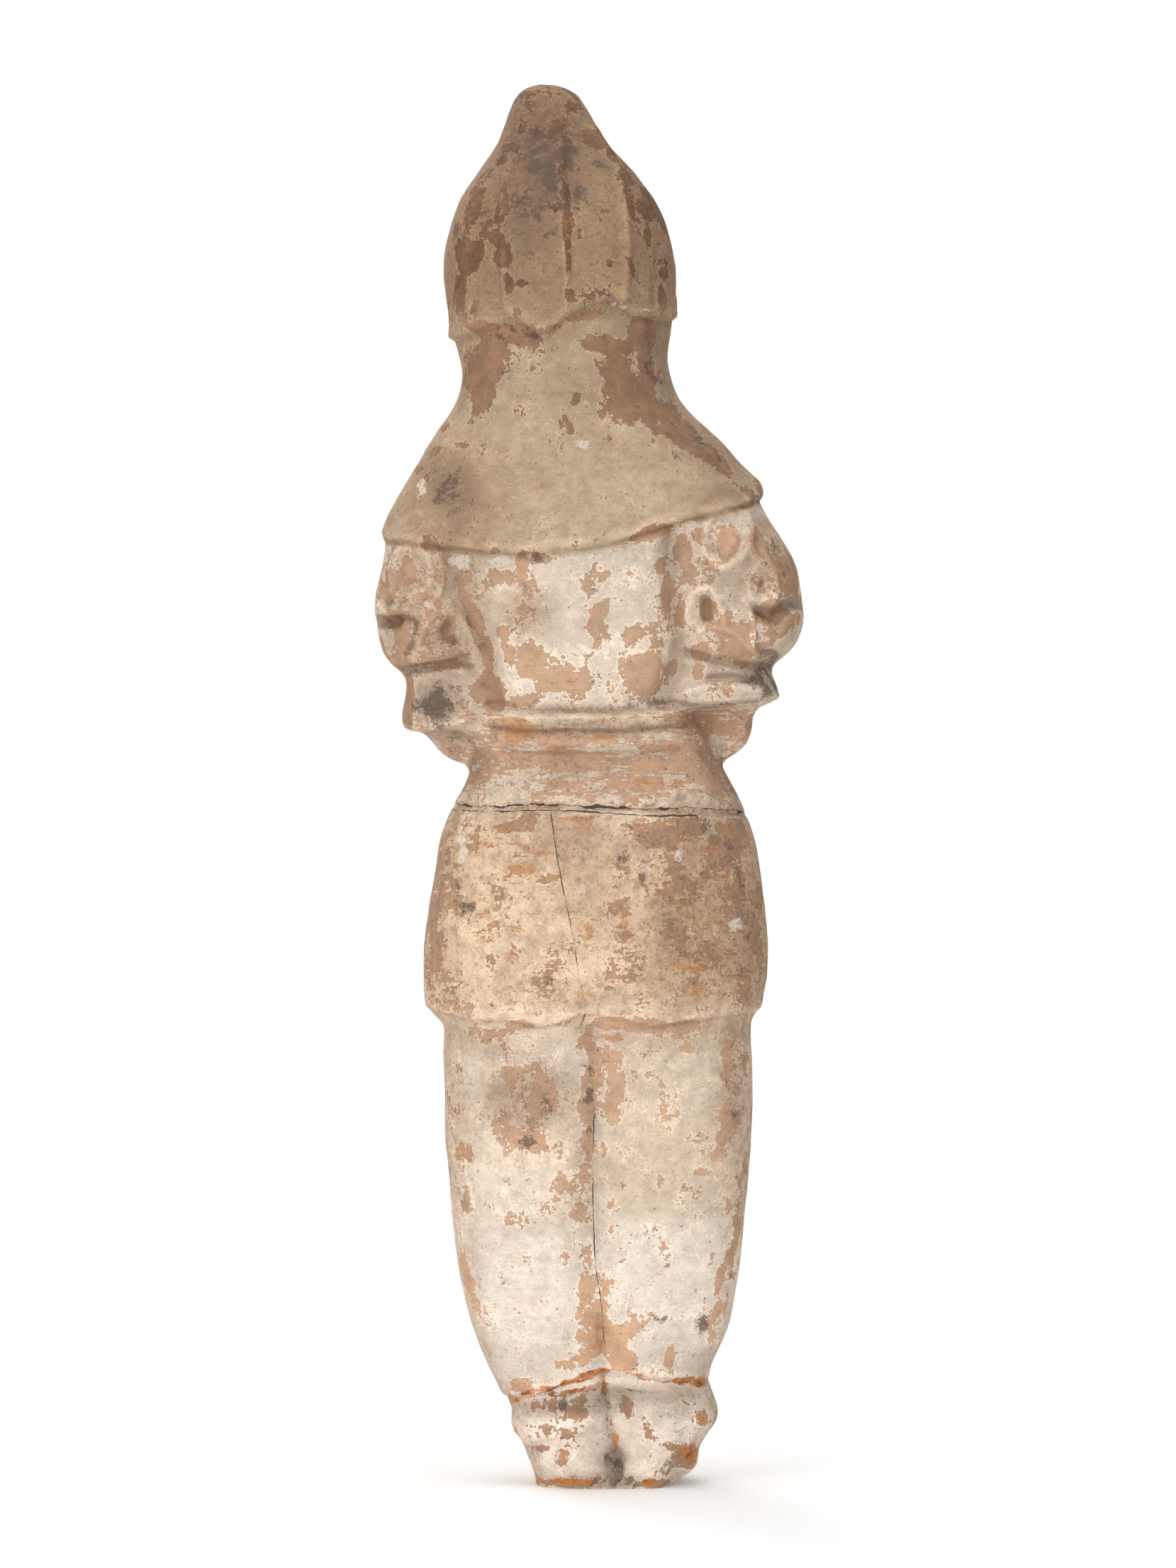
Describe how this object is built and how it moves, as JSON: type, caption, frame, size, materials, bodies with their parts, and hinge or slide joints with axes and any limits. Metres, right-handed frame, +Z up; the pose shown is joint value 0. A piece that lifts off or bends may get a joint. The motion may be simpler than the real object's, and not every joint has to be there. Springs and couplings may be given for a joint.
{
  "type": "terracotta warrior tomb figure",
  "caption": "Standing mould-made terracotta guardian with pointed helmet, shoulder cape, beast-head sleeves, skirt and gathered trousers, on the thin remains of its base.",
  "frame": {"origin": "a point inside the flat underside of the base, under the figure's waist, where it meets the surface it stands on", "axes": "+Z up, the figure faces -Y, +X is towards the figure's own left hand, so the picture looks along -Y at its back"},
  "size_m": [0.1592, 0.1057, 0.52],
  "materials": {
    "slipped_terracotta": "matt fired earthenware with worn cream and grey-beige slip"
  },
  "bodies": {
    "root": {"warrior_figure": "slipped_terracotta"}
  },
  "joints": []
}
